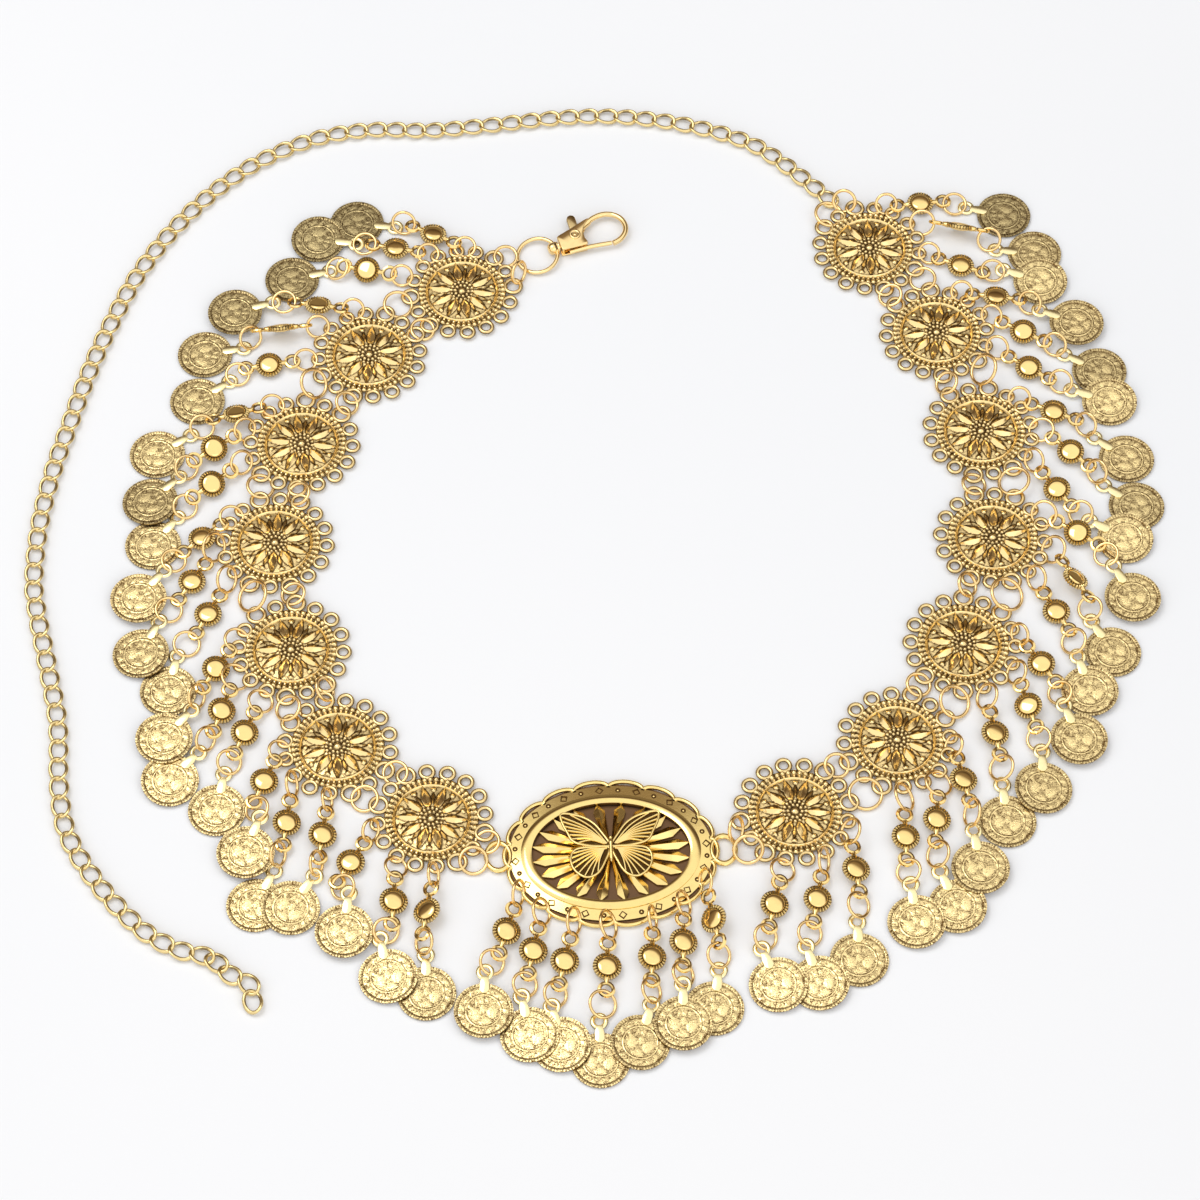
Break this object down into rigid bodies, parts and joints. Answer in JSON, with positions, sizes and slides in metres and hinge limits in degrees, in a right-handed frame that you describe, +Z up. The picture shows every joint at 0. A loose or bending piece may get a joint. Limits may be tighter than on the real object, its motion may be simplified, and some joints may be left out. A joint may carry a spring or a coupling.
{
  "type": "coin belly chain",
  "caption": "Antique gold coin belly chain laid flat in a ring: rosette medallions hung with coins, an oval butterfly centre plate, a curb extender chain and a lever clasp.",
  "frame": {"origin": "middle of the laid-out belt's bounding box, on the surface it lies on", "axes": "+Z up from the surface. +X to the right and +Y away from the viewer, with the butterfly plate at the front, on the -Y side"},
  "size_m": [0.3682, 0.3669, 0.0089],
  "materials": {
    "medallion_L1": "antique gold plate with brown patina in the recesses",
    "medallion_L2": "antique gold plate with brown patina in the recesses",
    "medallion_L3": "antique gold plate with brown patina in the recesses",
    "medallion_L4": "antique gold plate with brown patina in the recesses",
    "medallion_L5": "antique gold plate with brown patina in the recesses",
    "medallion_L6": "antique gold plate with brown patina in the recesses",
    "medallion_L7": "antique gold plate with brown patina in the recesses",
    "medallion_R1": "antique gold plate with brown patina in the recesses",
    "medallion_R2": "antique gold plate with brown patina in the recesses",
    "medallion_R3": "antique gold plate with brown patina in the recesses",
    "medallion_R4": "antique gold plate with brown patina in the recesses",
    "medallion_R5": "antique gold plate with brown patina in the recesses",
    "medallion_R6": "antique gold plate with brown patina in the recesses",
    "medallion_R7": "antique gold plate with brown patina in the recesses",
    "centre_plate": "satin gold plate with dark patina in the recesses",
    "butterfly": "antique gold plate with brown patina in the recesses",
    "chain_stretch_01": "antique gold plate",
    "chain_stretch_02": "antique gold plate",
    "chain_stretch_03": "antique gold plate",
    "chain_stretch_04": "antique gold plate",
    "chain_stretch_05": "antique gold plate",
    "chain_stretch_06": "antique gold plate",
    "chain_stretch_07": "antique gold plate",
    "chain_stretch_08": "antique gold plate",
    "chain_stretch_09": "antique gold plate",
    "clasp_ring": "bright polished gold plate",
    "clasp_hook": "bright polished gold plate",
    "clasp_gate": "bright polished gold plate"
  },
  "bodies": {
    "belt": {"medallion_L1": "medallion_L1", "medallion_L2": "medallion_L2", "medallion_L3": "medallion_L3", "medallion_L4": "medallion_L4", "medallion_L5": "medallion_L5", "medallion_L6": "medallion_L6", "medallion_L7": "medallion_L7", "medallion_R1": "medallion_R1", "medallion_R2": "medallion_R2", "medallion_R3": "medallion_R3", "medallion_R4": "medallion_R4", "medallion_R5": "medallion_R5", "medallion_R6": "medallion_R6", "medallion_R7": "medallion_R7", "centre_plate": "centre_plate", "butterfly": "butterfly", "chain_stretch_01": "chain_stretch_01", "chain_stretch_02": "chain_stretch_02", "chain_stretch_03": "chain_stretch_03", "chain_stretch_04": "chain_stretch_04", "chain_stretch_05": "chain_stretch_05", "chain_stretch_06": "chain_stretch_06", "chain_stretch_07": "chain_stretch_07", "chain_stretch_08": "chain_stretch_08", "chain_stretch_09": "chain_stretch_09", "clasp_ring": "clasp_ring"},
    "hook": {"clasp_hook": "clasp_hook"},
    "gate": {"clasp_gate": "clasp_gate"}
  },
  "joints": [
    {"name": "clasp_swivel", "type": "hinge", "parent": "belt", "child": "hook", "pos_m": [-0.014, 0.12423, 0.00225], "axis": [0.9135, 0.4067, 0], "continuous": true},
    {"name": "clasp_gate", "type": "hinge", "parent": "hook", "child": "gate", "pos_m": [-0.00764, 0.12815, 0.00225], "axis": [0, 0, 1], "range_deg": [0, 20], "stiffness_Nm_per_rad": 0.01, "springref_deg": -11.46}
  ]
}
